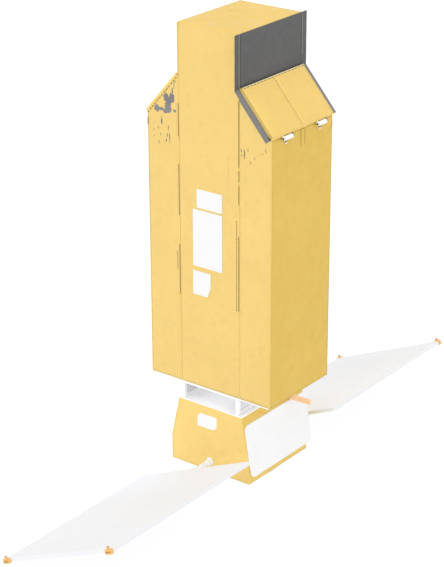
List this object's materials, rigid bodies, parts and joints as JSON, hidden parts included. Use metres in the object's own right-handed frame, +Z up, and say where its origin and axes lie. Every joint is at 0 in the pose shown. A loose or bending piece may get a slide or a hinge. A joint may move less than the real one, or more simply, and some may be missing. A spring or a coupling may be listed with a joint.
{
  "type": "space telescope satellite",
  "caption": "Tall box-shaped space telescope with slanted-top baffle boxes under hinged doors, on a six-sided service module with canted solar wings.",
  "frame": {"origin": "centre of the separation ring's lower bolting face", "axes": "+X to the right along the wide front face, -Y out of the front face, +Z up towards the telescope's top"},
  "size_m": [1.924, 6.896, 5.8814],
  "materials": {
    "gold_foil": "crinkled metallised film",
    "white_paint": "matte thermal paint",
    "white_panel": "matte painted composite",
    "grey_paint": "matte paint",
    "black_paint": "deep matte black paint",
    "black_film": "dark film blanket",
    "copper_film": "copper-coloured film",
    "bare_aluminium": "machined",
    "mirror_coating": "polished",
    "solar_cells": "cells under cover glass"
  },
  "bodies": {
    "spacecraft": {"antenna_arms": "copper_film", "back_shade_rail": "black_film", "back_wing_drive": "white_paint", "baffle_back_walls": "gold_foil", "baffle_dividers": "black_paint", "baffle_floors": "black_paint", "baffle_front_walls": "gold_foil", "bay_mirrors": "mirror_coating", "bus_deck": "white_paint", "bus_front_hatch": "white_paint", "bus_structure": "gold_foil", "centre_tower": "gold_foil", "divider_cover_strips": "gold_foil", "front_shade_rail": "black_film", "front_wing_drive": "white_paint", "interface_frame": "white_paint", "interface_side_panels": "grey_paint", "left_aperture_frame": "black_paint", "left_baffle_outer_wall": "gold_foil", "left_side_radiator": "white_paint", "lower_front_radiator": "white_paint", "middle_front_radiator": "white_paint", "motor_feet": "bare_aluminium", "motor_left_back": "white_paint", "motor_left_front": "white_paint", "motor_right_back": "white_paint", "motor_right_front": "white_paint", "radiator_standoffs": "bare_aluminium", "right_aperture_frame": "black_paint", "right_baffle_outer_wall": "gold_foil", "right_side_radiator": "white_paint", "separation_ring": "bare_aluminium", "telescope_base_plate": "white_paint", "tower_sunshade": "black_film", "upper_front_radiator": "white_paint"},
    "door_left_front": {"door_left_front": "gold_foil", "door_left_front_lugs": "bare_aluminium"},
    "door_left_back": {"door_left_back": "gold_foil", "door_left_back_lugs": "bare_aluminium"},
    "door_right_front": {"door_right_front": "gold_foil", "door_right_front_lugs": "bare_aluminium"},
    "door_right_back": {"door_right_back": "gold_foil", "door_right_back_lugs": "bare_aluminium"},
    "front_wing": {"front_wing_cells": "solar_cells", "front_wing_panel": "white_panel", "front_wing_sensors": "copper_film", "front_wing_yoke": "white_paint"},
    "back_wing": {"back_wing_cells": "solar_cells", "back_wing_panel": "white_panel", "back_wing_sensors": "copper_film", "back_wing_yoke": "white_paint"}
  },
  "joints": [
    {"name": "left_front_door_hinge", "type": "hinge", "parent": "spacecraft", "child": "door_left_front", "pos_m": [-0.934, -0.335, 4.552], "axis": [0, -1, 0], "range_deg": [0, 125]},
    {"name": "left_back_door_hinge", "type": "hinge", "parent": "spacecraft", "child": "door_left_back", "pos_m": [-0.934, 0.335, 4.552], "axis": [0, -1, 0], "range_deg": [0, 125]},
    {"name": "right_front_door_hinge", "type": "hinge", "parent": "spacecraft", "child": "door_right_front", "pos_m": [0.934, -0.335, 4.552], "axis": [0, 1, 0], "range_deg": [0, 125]},
    {"name": "right_back_door_hinge", "type": "hinge", "parent": "spacecraft", "child": "door_right_back", "pos_m": [0.934, 0.335, 4.552], "axis": [0, 1, 0], "range_deg": [0, 125]},
    {"name": "front_wing_drive", "type": "hinge", "parent": "spacecraft", "child": "front_wing", "pos_m": [0, -0.69, 0.236], "axis": [0, 1, 0], "range_deg": [-66.2, 113.8]},
    {"name": "back_wing_drive", "type": "hinge", "parent": "spacecraft", "child": "back_wing", "pos_m": [0, 0.69, 0.236], "axis": [0, 1, 0], "range_deg": [-66.2, 113.8]}
  ]
}
